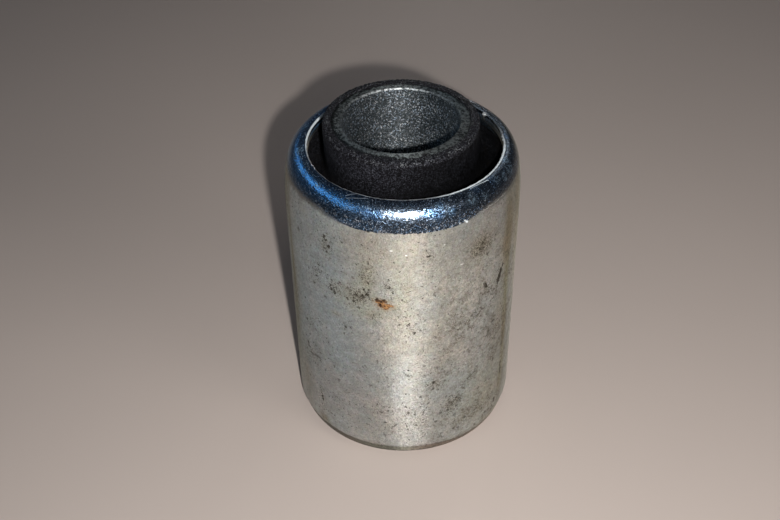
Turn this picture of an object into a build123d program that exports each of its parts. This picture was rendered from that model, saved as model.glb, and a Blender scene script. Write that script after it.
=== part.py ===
from build123d import *
from math import cos, radians, sin, sqrt
import os

# Rubber-metal bush: a rolled steel sleeve, a bonded rubber body and a steel
# inner tube.  Millimetres, +Z up along the common axis, origin at the centre
# of the sleeve's lower end, which is the end it stands on.

# ---- outer sleeve ---------------------------------------------------------
sleeve_dia = 33.0            # press-fit outside diameter
sleeve_wall = 1.5
sleeve_height = 45.3         # lower end to the top of the rolled shoulder
lead_in_height = 1.9         # 15 degree lead-in at the lower end
lead_in_depth = 0.51
shoulder_entry_radius = 39.0 # slow curve where the wall starts to turn in
shoulder_entry_angle = 10.0  # degrees turned on that slow curve
shoulder_radius = 2.6        # tight curve up to the lip
lip_edge_radius = 0.15
sleeve_inner_break = 0.3     # edge break inside the lower end

# ---- inner tube -----------------------------------------------------------
tube_bore_dia = 16.1
tube_dia = 19.0
tube_length = 48.8
tube_edge_break = 0.2

# ---- rubber body ----------------------------------------------------------
neck_dia = 21.3              # rubber collar that climbs the tube
neck_edge_radius = 0.5
top_groove_radius = 1.8      # full-round groove under the lip
top_groove_level = 42.2      # level of the groove's centre
base_neck_dia = 20.6
base_groove_radius = 2.1
base_groove_level = 2.0

# ---- derived --------------------------------------------------------------
sleeve_r = sleeve_dia / 2
sleeve_inner_r = sleeve_r - sleeve_wall
tube_r = tube_dia / 2
a = radians(shoulder_entry_angle)
shoulder_start = (
    sleeve_height - shoulder_radius - (shoulder_entry_radius - shoulder_radius) * sin(a)
)
entry_centre = (sleeve_r - shoulder_entry_radius, shoulder_start)
roll_centre = (
    entry_centre[0] + (shoulder_entry_radius - shoulder_radius) * cos(a),
    shoulder_start + (shoulder_entry_radius - shoulder_radius) * sin(a),
)
lip_r = roll_centre[0]       # radius of the opening left by the roll
inner_entry_radius = shoulder_entry_radius - sleeve_wall
inner_roll_radius = shoulder_radius - sleeve_wall

# Outer sleeve: one tube, its upper end rolled inwards to the lip.
with BuildPart() as outer_sleeve:
    with BuildSketch(Plane.XZ) as sleeve_section:
        with BuildLine():
            Polyline(
                (sleeve_inner_r, shoulder_start),
                (sleeve_inner_r, sleeve_inner_break),
                (sleeve_inner_r + sleeve_inner_break, 0),
                (sleeve_r - lead_in_depth, 0),
                (sleeve_r, lead_in_height),
                (sleeve_r, shoulder_start),
            )
            CenterArc(entry_centre, shoulder_entry_radius, 0, shoulder_entry_angle)
            CenterArc(
                roll_centre, shoulder_radius, shoulder_entry_angle, 90 - shoulder_entry_angle
            )
            Line(
                (lip_r, sleeve_height),
                (lip_r, sleeve_height - sleeve_wall),
            )
            CenterArc(
                roll_centre, inner_roll_radius, shoulder_entry_angle, 90 - shoulder_entry_angle
            )
            CenterArc(entry_centre, inner_entry_radius, 0, shoulder_entry_angle)
        make_face()
        lip_corners = sleeve_section.vertices().sort_by(Axis.X)[:2]
        fillet(lip_corners, lip_edge_radius)
    revolve(axis=Axis.Z)
outer_sleeve.part.label = "outer_sleeve"

# Inner tube: plain steel tube, edges broken at both ends of the bore.
with BuildPart() as inner_tube:
    with BuildSketch(Plane.XY):
        Circle(tube_r)
        Circle(tube_bore_dia / 2, mode=Mode.SUBTRACT)
    extrude(amount=tube_length)
    bore_rims = inner_tube.edges().filter_by(GeomType.CIRCLE).filter_by(
        lambda e: abs(e.radius - tube_bore_dia / 2) < 1e-6
    )
    chamfer(bore_rims, tube_edge_break)
inner_tube.part.label = "inner_tube"

# Rubber body: fills the space between tube and sleeve, with a full-round
# groove at each end and a thin collar up to the top of the tube.
neck_r = neck_dia / 2
base_neck_r = base_neck_dia / 2
groove_outer_r = neck_r + 2 * top_groove_radius
base_groove_outer_r = base_neck_r + 2 * base_groove_radius
rise = top_groove_level - shoulder_start
wall_at_groove = entry_centre[0] + sqrt(inner_entry_radius**2 - rise**2)
mid = rise / 2
wall_at_mid = entry_centre[0] + sqrt(inner_entry_radius**2 - mid**2)

with BuildPart() as rubber_body:
    with BuildSketch(Plane.XZ) as rubber_section:
        with BuildLine():
            Line((tube_r, base_groove_level), (base_neck_r, base_groove_level))
            ThreePointArc(
                (base_neck_r, base_groove_level),
                (base_neck_r + base_groove_radius, base_groove_level + base_groove_radius),
                (base_groove_outer_r, base_groove_level),
            )
            Polyline(
                (base_groove_outer_r, base_groove_level),
                (sleeve_inner_r, base_groove_level),
                (sleeve_inner_r, shoulder_start),
            )
            ThreePointArc(
                (sleeve_inner_r, shoulder_start),
                (wall_at_mid, shoulder_start + mid),
                (wall_at_groove, top_groove_level),
            )
            Line((wall_at_groove, top_groove_level), (groove_outer_r, top_groove_level))
            ThreePointArc(
                (groove_outer_r, top_groove_level),
                (neck_r + top_groove_radius, top_groove_level - top_groove_radius),
                (neck_r, top_groove_level),
            )
            Polyline(
                (neck_r, top_groove_level),
                (neck_r, tube_length),
                (tube_r, tube_length),
                (tube_r, base_groove_level),
            )
        make_face()
        collar_corner = rubber_section.vertices().group_by(Axis.Y)[-1].sort_by(Axis.X)[-1]
        fillet(collar_corner, neck_edge_radius)
    revolve(axis=Axis.Z)
rubber_body.part.label = "rubber_body"

os.makedirs("parts", exist_ok=True)
export_step(outer_sleeve.part, "parts/outer_sleeve.step")
export_step(inner_tube.part, "parts/inner_tube.step")
export_step(rubber_body.part, "parts/rubber_body.step")
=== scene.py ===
import bpy, math, random
import numpy as np
from mathutils import Matrix, Vector


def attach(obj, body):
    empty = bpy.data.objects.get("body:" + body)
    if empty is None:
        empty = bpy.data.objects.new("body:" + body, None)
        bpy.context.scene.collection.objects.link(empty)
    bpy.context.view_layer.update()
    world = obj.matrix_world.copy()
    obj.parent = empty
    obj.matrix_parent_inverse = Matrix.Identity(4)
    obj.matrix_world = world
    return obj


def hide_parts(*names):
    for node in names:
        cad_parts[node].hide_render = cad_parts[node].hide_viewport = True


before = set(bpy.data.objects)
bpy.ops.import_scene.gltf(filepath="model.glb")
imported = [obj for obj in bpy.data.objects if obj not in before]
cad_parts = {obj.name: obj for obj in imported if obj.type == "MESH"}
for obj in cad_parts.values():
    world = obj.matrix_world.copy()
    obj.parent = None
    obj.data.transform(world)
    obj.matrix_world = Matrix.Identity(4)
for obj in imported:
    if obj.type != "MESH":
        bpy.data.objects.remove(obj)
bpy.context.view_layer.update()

rng = np.random.default_rng(7)
MM = 0.001


# ---------------------------------------------------------------- mesh helpers
def round_poly(pts, radii, steps=5):
    """A polyline with its corners rounded. radii has one entry per point; 0 keeps the corner."""
    out = []
    n = len(pts)
    for i, (p, r) in enumerate(zip(pts, radii)):
        p = np.array(p, float)
        if r <= 0 or i in (0, n - 1):
            out.append(p)
            continue
        a = np.array(pts[i - 1], float) - p
        b = np.array(pts[i + 1], float) - p
        la, lb = np.linalg.norm(a), np.linalg.norm(b)
        a, b = a / la, b / lb
        half = math.acos(max(-1, min(1, float(a @ b)))) / 2
        t = r / math.tan(half)
        c = p + (a + b) / np.linalg.norm(a + b) * (r / math.sin(half))
        s, e = p + a * t - c, p + b * t - c
        ang0, ang1 = math.atan2(s[1], s[0]), math.atan2(e[1], e[0])
        d = (ang1 - ang0 + math.pi) % (2 * math.pi) - math.pi
        for k in range(steps + 1):
            w = ang0 + d * k / steps
            out.append(c + r * np.array([math.cos(w), math.sin(w)]))
    return out


def bezier(p0, p1, p2, p3, n):
    t = np.linspace(0, 1, n)[:, None]
    p0, p1, p2, p3 = (np.array(p, float) for p in (p0, p1, p2, p3))
    return (1 - t) ** 3 * p0 + 3 * t * (1 - t) ** 2 * p1 + 3 * t * t * (1 - t) * p2 + t ** 3 * p3


def span(p, q, n):
    """n points from p to q, without q."""
    p, q = np.array(p, float), np.array(q, float)
    return [p + (q - p) * k / n for k in range(n)]


def lathe(name, profile, seg, shift=None):
    """A closed section (r, z in mm) turned about Z. shift(theta, r, z) gives (dr, dx, dy, dz) in mm."""
    prof = np.array(profile, float)
    th = np.linspace(0, 2 * math.pi, seg, endpoint=False)
    T, R = np.meshgrid(th, prof[:, 0], indexing="ij")
    _, Z = np.meshgrid(th, prof[:, 1], indexing="ij")
    dx = dy = dz = dr = 0
    if shift:
        dr, dx, dy, dz = shift(T, R, Z)
    X = (R + dr) * np.cos(T) + dx
    Y = (R + dr) * np.sin(T) + dy
    Zz = Z + dz
    V = np.stack([X, Y, Zz * np.ones_like(X)], -1).reshape(-1, 3) * MM
    m = len(prof)
    i = np.arange(seg)[:, None]
    j = np.arange(m)[None, :]
    a = i * m + j
    b = ((i + 1) % seg) * m + j
    c = ((i + 1) % seg) * m + (j + 1) % m
    d = i * m + (j + 1) % m
    F = np.stack([a, b, c, d], -1).reshape(-1, 4)
    me = bpy.data.meshes.new(name)
    me.vertices.add(len(V))
    me.vertices.foreach_set("co", V.ravel())
    me.loops.add(F.size)
    me.loops.foreach_set("vertex_index", F.ravel().astype(np.int32))
    me.polygons.add(len(F))
    me.polygons.foreach_set("loop_start", np.arange(0, F.size, 4, dtype=np.int32))
    me.update(calc_edges=True)
    me.validate()
    me.shade_smooth()
    ob = bpy.data.objects.new(name, me)
    bpy.context.scene.collection.objects.link(ob)
    return ob


def waves(T, Z, terms):
    """Sum of gentle waves round and along the axis: (amplitude mm, turns, per mm, phase)."""
    out = np.zeros_like(T)
    for amp, k, q, ph in terms:
        out += amp * np.sin(k * T + q * Z + ph)
    return out


def ragged(T, Z, seed, k0, k1, q1, n=28):
    """Uneven wave, mostly -1 to 1: n sines of k0 to k1 turns round the axis and up to q1 radians per mm along it."""
    r = np.random.default_rng(seed)
    out = np.zeros_like(T)
    for _ in range(n):
        out += np.sin(r.integers(k0, k1 + 1) * T + r.uniform(-q1, q1) * Z + r.uniform(0, 6.283))
    return out / math.sqrt(2 * n)


# ---------------------------------------------------------------- outer sleeve
R0, WALL = 16.5, 1.5
LIP_R, LIP_Z = 13.345, 45.30
z0 = 35.44
outer = round_poly([(15.6, 0.0), (15.99, 0.0), (16.5, 1.91), (16.5, 4.0)], [0, 0.10, 0.10, 0], 4)[1:-1]
wall = span((16.5, 2.3), (16.5, z0), 96)
roll = bezier((R0, z0), (R0, z0 + 6.6), (LIP_R + 2.85, LIP_Z + 0.06), (LIP_R, LIP_Z), 46)
roll_end = roll[:-1]
# the sheet's end: a narrow burnished corner, a flat cut face and a softer lower corner
lip = round_poly(
    [tuple(roll[-3]), (LIP_R, LIP_Z), (LIP_R, LIP_Z - WALL), (LIP_R + 0.9, LIP_Z - WALL - 0.02)],
    [0, 0.19, 0.22, 0],
    7,
)[1:-1]
inner_roll = bezier(
    (LIP_R + 0.9, LIP_Z - WALL - 0.02),
    (LIP_R + 1.55, LIP_Z - WALL - 0.1),
    (R0 - WALL - 0.02, z0 + 6.0),
    (R0 - WALL, z0),
    22,
)
inner = span((R0 - WALL, z0), (R0 - WALL, 0.4), 12)[1:]
foot = round_poly([(R0 - WALL, 1.0), (R0 - WALL, 0.3), (R0 - WALL + 0.3, 0.0), (15.8, 0.0)], [0, 0.1, 0.1, 0], 3)[1:]
sleeve_profile = [tuple(p) for p in (*outer, *wall, *roll_end[:-2], *lip, *inner_roll, *inner, *foot)]


def sleeve_shift(T, R, Z):
    on_roll = np.clip((R0 - R) / (R0 - LIP_R), 0, 1) * (Z > 30)
    dx = 0.39 * on_roll
    dr = waves(T, Z, [(0.012, 2, 0.0, 0.6), (0.006, 3, 0.05, 2.0), (0.004, 5, -0.08, 4.1)]) * (Z > 1.0)
    dr = dr + on_roll * waves(T, Z, [(0.030, 2, 0, 1.1), (0.018, 3, 0, 3.0), (0.008, 7, 0, 0.4), (0.005, 13, 0, 2.2)])
    dz = on_roll * waves(T, 0 * Z, [(0.020, 2, 0, 2.6), (0.010, 5, 0, 0.9), (0.006, 11, 0, 5.0)])
    # the sheared edge: slightly uneven, with a curled burr and a small nick
    edge = np.exp(-((R - LIP_R) / 0.30) ** 2) * np.clip((Z - 44.95) / 0.2, 0, 1)
    dr = dr + edge * 0.035 * ragged(T, 0 * Z, 3, 9, 90, 0)
    dz = dz + edge * 0.025 * ragged(T, 0 * Z, 4, 9, 90, 0)
    burr = edge * np.exp(-((np.degrees(T) - 31.2) / 1.5) ** 2)
    nick = edge * (np.exp(-((np.degrees(T) - 4.8) / 0.8) ** 2) + np.exp(-((np.degrees(T) - 1.6) / 0.8) ** 2))
    dr = dr - 0.62 * burr - 0.16 * nick
    dz = dz + 0.16 * burr + 0.07 * nick
    return dr, dx, 0 * T, dz


sleeve = lathe("sleeve_shell", sleeve_profile, 384, sleeve_shift)
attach(sleeve, "root")
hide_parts("outer_sleeve")

# ---------------------------------------------------------------- inner tube
BORE, TUBE, TOP = 8.05, 9.5, 48.8
tube_profile = round_poly(
    [(TUBE, 24.0), (TUBE, TOP), (BORE, TOP), (BORE, 0.0), (TUBE, 0.0), (TUBE, 24.0)],
    [0, 0.25, 0.18, 0.18, 0.25, 0],
    5,
)[:-1]


def tube_shift(T, R, Z):
    dr = waves(T, Z, [(0.010, 2, 0.02, 0.3), (0.006, 3, -0.05, 1.3)])
    chipped = (Z > 48.4) * ((R > 9.2) * 0.035 * ragged(T, Z, 12, 12, 100, 2) + (R < 8.3) * 0.022 * ragged(T, Z, 13, 12, 70, 2))
    return dr + chipped, -0.2 + 0 * T, 0 * T, 0.6 * chipped


tube = lathe("tube_shell", [tuple(p) for p in tube_profile], 256, tube_shift)
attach(tube, "root")
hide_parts("inner_tube")

# ---------------------------------------------------------------- rubber body
rubber_profile = [
    *span((TUBE - 0.06, 2.0), (10.3, 2.0), 2),
    *[(12.4 - 2.1 * math.cos(a), 2.0 + 2.1 * math.sin(a)) for a in np.linspace(0, math.pi, 15)],
    *span((14.9, 2.0), (14.98, 2.2), 2),
    *span((14.98, 2.4), (14.98, 36.0), 8),
    (14.95, 38.0), (14.85, 40.0), (14.62, 42.2), (14.3, 42.3),
    *[(12.45 + 1.8 * math.cos(a), 42.2 - 1.8 * math.sin(a)) for a in np.linspace(0.1, math.pi, 18)],
    *span((10.65, 42.6), (10.62, 48.2), 24),
    *round_poly([(10.62, 48.2), (10.6, 48.9), (9.45, 48.92), (9.44, 48.0)], [0, 0.42, 0.08, 0], 8)[:],
    (9.44, 40.0), (9.44, 20.0),
]


def rubber_shift(T, R, Z):
    up = np.clip((Z - 42.0) / 6.0, 0, 1)
    side = np.clip((Z - 43.0) / 1.5, 0, 1) * (R > 10.3) + np.clip((Z - 40.2) / 1.0, 0, 1) * (R > 10.9) * (Z < 43)
    rim = np.clip((Z - 47.9) / 0.6, 0, 1) * (R > 9.6)
    dr = side * 0.030 * ragged(T, Z, 31, 3, 60, 4) + rim * 0.050 * ragged(T, Z, 32, 20, 130, 6)
    dz = rim * 0.040 * ragged(T, Z + R, 33, 20, 130, 6)
    return dr, -0.15 * up, 0 * T, dz


rubber = lathe("rubber_bonded", [tuple(p) for p in rubber_profile], 384, rubber_shift)
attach(rubber, "root")
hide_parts("rubber_body")


# ---------------------------------------------------------------- material helpers
class Graph:
    """A Principled material, and short calls that add nodes to it. Lengths in the patterns are millimetres."""

    def __init__(self, name):
        self.m = bpy.data.materials.new(name)
        self.m.use_nodes = True
        self.t = self.m.node_tree
        self.p = self.t.nodes["Principled BSDF"]
        self.obj = self.t.nodes.new("ShaderNodeTexCoord").outputs["Object"]
        self.mm = self.vec("SCALE", self.obj, scale=1000.0)
        s = self.t.nodes.new("ShaderNodeSeparateXYZ")
        self.put(s.inputs[0], self.mm)
        self.x, self.y, self.z = s.outputs
        self.r = self.math("SQRT", self.math("ADD", self.math("MULTIPLY", self.x, self.x), self.math("MULTIPLY", self.y, self.y)))

    def put(self, socket, v):
        if hasattr(v, "links"):
            self.t.links.new(v, socket)
        elif isinstance(v, (tuple, list)) and len(socket.default_value) == 4 and len(v) == 3:
            socket.default_value = (*v, 1)
        else:
            socket.default_value = v

    def math(self, op, a, b=None, c=None, clamp=False):
        n = self.t.nodes.new("ShaderNodeMath")
        n.operation = op
        n.use_clamp = clamp
        for i, v in enumerate((a, b, c)):
            if v is not None:
                self.put(n.inputs[i], v)
        return n.outputs[0]

    def vec(self, op, a, b=None, c=None, scale=None):
        n = self.t.nodes.new("ShaderNodeVectorMath")
        n.operation = op
        for i, v in enumerate((a, b, c)):
            if v is not None:
                self.put(n.inputs[i], v)
        if scale is not None:
            self.put(n.inputs["Scale"], scale)
        return n.outputs["Value"] if op in ("LENGTH", "DISTANCE", "DOT_PRODUCT") else n.outputs["Vector"]

    def mix(self, f, a, b, blend="MIX"):
        n = self.t.nodes.new("ShaderNodeMix")
        n.data_type = "RGBA"
        n.blend_type = blend
        self.put(n.inputs["Factor"], f)
        self.put(n.inputs[6], a)
        self.put(n.inputs[7], b)
        return n.outputs[2]

    def lerp(self, f, a, b):
        n = self.t.nodes.new("ShaderNodeMix")
        n.data_type = "FLOAT"
        self.put(n.inputs[0], f)
        self.put(n.inputs[2], a)
        self.put(n.inputs[3], b)
        return n.outputs[0]

    def step(self, v, lo, hi, a=0.0, b=1.0):
        """Smoothly from a at v=lo to b at v=hi, held outside."""
        n = self.t.nodes.new("ShaderNodeMapRange")
        n.interpolation_type = "SMOOTHSTEP"
        for i, q in enumerate((v, lo, hi, a, b)):
            self.put(n.inputs[i], q)
        return n.outputs[0]

    def noise(self, scale, v=None, detail=2.0, rough=0.5, dist=0.0, off=0.0, colour=False):
        n = self.t.nodes.new("ShaderNodeTexNoise")
        n.noise_dimensions = "4D" if off else "3D"
        self.put(n.inputs["Vector"], self.mm if v is None else v)
        n.inputs["Scale"].default_value = scale
        n.inputs["Detail"].default_value = detail
        n.inputs["Roughness"].default_value = rough
        n.inputs["Distortion"].default_value = dist
        if off:
            n.inputs["W"].default_value = off
        return n.outputs["Color" if colour else 0]

    def cells(self, scale, v=None, out="Distance", rand=1.0, feature="F1"):
        n = self.t.nodes.new("ShaderNodeTexVoronoi")
        n.feature = feature
        self.put(n.inputs["Vector"], self.mm if v is None else v)
        n.inputs["Scale"].default_value = scale
        n.inputs["Randomness"].default_value = rand
        return n.outputs[out]

    def stretched(self, sx, sy, sz):
        return self.vec("MULTIPLY", self.mm, (sx, sy, sz))

    def bump(self, height, dist, strength=1.0, after=None):
        n = self.t.nodes.new("ShaderNodeBump")
        n.inputs["Strength"].default_value = strength
        n.inputs["Distance"].default_value = dist
        self.put(n.inputs["Height"], height)
        if after is not None:
            self.put(n.inputs["Normal"], after)
        return n.outputs[0]

    def set(self, **kw):
        names = dict(color="Base Color", rough="Roughness", metal="Metallic", normal="Normal", aniso="Anisotropic",
                     arot="Anisotropic Rotation", tangent="Tangent", spec="Specular IOR Level", coat="Coat Weight",
                     coat_rough="Coat Roughness", sheen="Sheen Weight", sheen_rough="Sheen Roughness", sheen_tint="Sheen Tint")
        for k, v in kw.items():
            self.put(self.p.inputs[names[k]], v)
        return self.m

    def turned(self, rotation=0.25, where=None, angle=None):
        """Grain that runs round the axis, as on a drawn or turned tube. Where 'where' is 1 it lies across that,
        turned by 'angle' radians."""
        n = self.t.nodes.new("ShaderNodeTangent")
        n.direction_type = "RADIAL"
        n.axis = "Z"
        way = n.outputs[0]
        if where is not None:
            normal = self.t.nodes.new("ShaderNodeNewGeometry").outputs["Normal"]
            across = self.vec("CROSS_PRODUCT", normal, way)
            crossed = self.vec("ADD", self.vec("SCALE", across, scale=self.math("COSINE", angle)),
                               self.vec("SCALE", way, scale=self.math("SINE", angle)))
            way = self.vec("ADD", self.vec("SCALE", crossed, scale=where),
                           self.vec("SCALE", way, scale=self.math("SUBTRACT", 1.0, where)))
        self.put(self.p.inputs["Tangent"], way)
        self.p.inputs["Anisotropic Rotation"].default_value = rotation


# ---------------------------------------------------------------- zinc-plated sleeve
# Marks on the sleeve, each one listed: angle about the axis in degrees (-90 faces front), height, and
# half-width and half-height in millimetres. Clusters, stains and painted edge shade also have a strength.
PITS = [
    (-129.0, 38.96, 0.24, 0.32), (-128.2, 38.48, 0.19, 0.2), (-126.3, 37.65, 0.27, 0.24),
    (-128.8, 37.13, 0.17, 0.18), (-127.7, 36.6, 0.2, 0.2), (-148.6, 37.01, 0.28, 0.4), (-116.0, 40.85, 0.13, 0.2),
    (-133.7, 33.44, 0.24, 0.16), (-131.0, 33.52, 0.17, 0.18), (-135.7, 31.14, 0.21, 0.2),
    (-137.7, 29.53, 0.22, 0.2), (-113.9, 33.78, 0.19, 0.24), (-121.1, 32.1, 0.22, 0.2), (-126.5, 31.0, 0.18, 0.24),
    (-126.1, 30.17, 0.14, 0.2), (-124.3, 29.97, 0.25, 0.36), (-116.8, 31.72, 0.16, 0.18),
    (-130.3, 28.24, 0.38, 0.16), (-106.0, 36.92, 0.12, 0.4), (-109.4, 34.19, 0.12, 0.16),
    (-107.0, 31.29, 0.29, 0.24), (-109.2, 30.85, 0.32, 0.26), (-112.7, 30.9, 0.38, 0.16),
    (-113.9, 29.61, 0.29, 0.22), (-117.1, 29.72, 0.2, 0.36), (-111.5, 28.67, 0.31, 0.18),
    (-108.6, 32.15, 0.2, 0.2), (-106.2, 32.15, 0.15, 0.32), (-116.1, 28.92, 0.16, 0.16),
    (-104.4, 30.48, 0.15, 0.16), (-96.7, 32.95, 0.21, 0.18), (-96.6, 34.43, 0.15, 0.16),
    (-95.4, 31.22, 0.15, 0.16), (-119.0, 24.31, 0.15, 0.2), (-119.8, 22.87, 0.17, 0.2),
    (-116.2, 24.46, 0.13, 0.16), (-146.8, 20.88, 0.24, 0.2), (-147.8, 16.05, 0.27, 0.26),
    (-133.9, 19.01, 0.2, 0.2), (-102.0, 23.42, 0.15, 0.2), (-149.6, 17.07, 0.23, 0.18),
    (-114.8, 27.05, 0.13, 0.14), (-104.9, 24.38, 0.11, 0.14), (-74.5, 39.72, 0.18, 0.2),
    (-69.8, 39.78, 0.17, 0.18), (-78.4, 38.2, 0.33, 0.2), (-63.5, 38.69, 0.15, 0.16), (-59.1, 37.26, 0.17, 0.18),
    (-50.4, 37.52, 0.25, 0.4), (-49.2, 38.02, 0.17, 0.24), (-53.8, 36.14, 0.27, 0.28), (-51.8, 36.7, 0.24, 0.2),
    (-46.7, 35.22, 0.22, 0.22), (-49.6, 36.63, 0.25, 0.2), (-47.2, 29.74, 0.38, 0.36), (-49.1, 30.68, 0.17, 0.18),
    (-76.4, 34.69, 0.12, 0.18), (-76.8, 33.67, 0.1, 0.16), (-75.3, 31.47, 0.14, 0.34), (-73.6, 31.35, 0.12, 0.2),
    (-54.8, 25.36, 0.16, 0.28), (-53.3, 25.69, 0.15, 0.16), (-29.9, 21.87, 0.44, 0.2), (-39.5, 21.54, 0.37, 0.26),
    (-28.5, 18.6, 0.31, 0.4), (-28.7, 14.8, 0.36, 0.52), (-87.1, 26.52, 0.16, 0.28), (-84.0, 26.64, 0.13, 0.18),
    (-84.9, 24.8, 0.22, 0.22), (-74.4, 23.6, 0.18, 0.24), (-63.3, 26.71, 0.13, 0.16), (-58.5, 24.21, 0.15, 0.16),
    (-79.5, 27.01, 0.12, 0.14), (-81.8, 25.26, 0.13, 0.16), (-147.1, 15.42, 0.27, 0.24),
    (-124.8, 12.94, 0.28, 0.22), (-123.6, 14.06, 0.16, 0.16), (-137.6, 6.7, 0.19, 0.56),
    (-102.8, 19.12, 0.12, 0.52), (-99.7, 21.33, 0.12, 0.16), (-106.8, 13.99, 0.18, 0.2),
    (-103.9, 13.39, 0.12, 0.16), (-131.2, 4.44, 0.19, 0.2), (-131.3, 5.75, 0.14, 0.14), (-109.4, 5.56, 0.19, 0.28),
    (-99.6, 3.9, 0.21, 0.18), (-99.4, 6.77, 0.13, 0.16), (-97.7, 9.96, 0.13, 0.18), (-100.0, 9.96, 0.12, 0.14),
    (-101.4, 8.71, 0.15, 0.18), (-103.5, 8.47, 0.12, 0.14), (-127.2, 15.2, 0.15, 0.26), (-148.7, 8.93, 0.22, 0.24),
    (-114.9, 9.15, 0.14, 0.16), (-118.7, 11.18, 0.13, 0.14), (-67.7, 20.0, 0.16, 0.2), (-58.7, 18.93, 0.19, 0.28),
    (-55.3, 18.6, 0.18, 0.36), (-73.1, 17.56, 0.18, 0.26), (-79.7, 18.32, 0.13, 0.2), (-72.1, 18.86, 0.14, 0.18),
    (-50.1, 14.67, 0.25, 0.2), (-69.2, 14.55, 0.23, 0.2), (-74.8, 14.67, 0.29, 0.26), (-77.8, 14.28, 0.15, 0.16),
    (-75.0, 13.45, 0.18, 0.18), (-72.6, 13.04, 0.15, 0.16), (-81.6, 12.11, 0.21, 0.18), (-78.3, 12.24, 0.15, 0.18),
    (-80.0, 10.67, 0.13, 0.18), (-77.4, 10.51, 0.19, 0.16), (-67.9, 11.09, 0.22, 0.16), (-62.1, 10.22, 0.23, 0.18),
    (-66.1, 9.7, 0.19, 0.2), (-61.9, 8.38, 0.23, 0.26), (-67.1, 8.01, 0.22, 0.16), (-70.9, 7.91, 0.22, 0.2),
    (-62.9, 6.58, 0.33, 0.42), (-73.6, 6.33, 0.24, 0.24), (-60.5, 3.45, 0.22, 0.18), (-63.5, 3.58, 0.18, 0.16),
    (-83.8, 6.23, 0.19, 0.18), (-84.8, 8.53, 0.13, 0.18), (-56.6, 5.02, 0.26, 0.16), (-46.4, 2.54, 0.24, 0.22),
    (-41.6, 3.14, 0.24, 0.2), (-33.2, 3.73, 0.27, 0.52), (-37.2, 13.31, 0.27, 0.44), (-27.9, 14.4, 0.41, 0.36),
    (-42.4, 10.08, 0.19, 0.18), (-51.0, 12.26, 0.17, 0.16), (-59.1, 15.49, 0.17, 0.16), (-76.6, 16.63, 0.12, 0.16),
]
CLUSTERS = [
    (-111.2, 30.68, 2.19, 1.6, 1.0), (-128.0, 37.92, 1.3, 2.0, 0.8), (-134.7, 32.21, 1.85, 2.8, 0.6),
    (-124.7, 31.08, 1.42, 1.6, 0.8), (-106.9, 34.54, 1.07, 2.6, 0.7), (-96.7, 33.12, 1.18, 1.6, 0.6),
    (-105.1, 27.72, 2.12, 1.2, 0.45), (-50.3, 36.99, 2.09, 2.2, 1.0), (-64.9, 9.23, 1.61, 2.0, 1.0),
    (-75.0, 14.07, 2.12, 1.4, 0.7), (-83.6, 8.28, 3.53, 3.6, 0.45), (-77.5, 37.81, 1.2, 1.6, 0.5),
    (-55.7, 25.5, 1.77, 1.6, 0.4), (-37.2, 19.58, 2.9, 2.8, 0.55), (-71.5, 16.41, 4.93, 2.0, 0.35),
    (-145.5, 14.35, 2.83, 2.8, 0.6), (-138.0, 6.71, 0.87, 3.2, 0.6), (-101.4, 9.14, 1.79, 1.6, 0.5),
    (-30.9, 3.82, 2.56, 2.4, 0.55), (-60.3, 4.87, 2.35, 1.6, 0.6), (-118.5, 23.99, 1.66, 1.2, 0.5),
    (-143.7, 21.56, 1.97, 2.4, 0.45), (-86.1, 25.76, 1.46, 2.4, 0.5), (-88.9, 30.91, 1.31, 5.0, 0.45),
    (-98.7, 30.76, 1.18, 1.4, 0.6), (-36.9, 30.1, 1.7, 2.4, 0.5), (-56.5, 31.11, 1.58, 1.6, 0.35),
    (-124.6, 8.53, 3.55, 2.4, 0.3), (-159.6, 23.4, 1.67, 6.0, 0.45),
]
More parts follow.
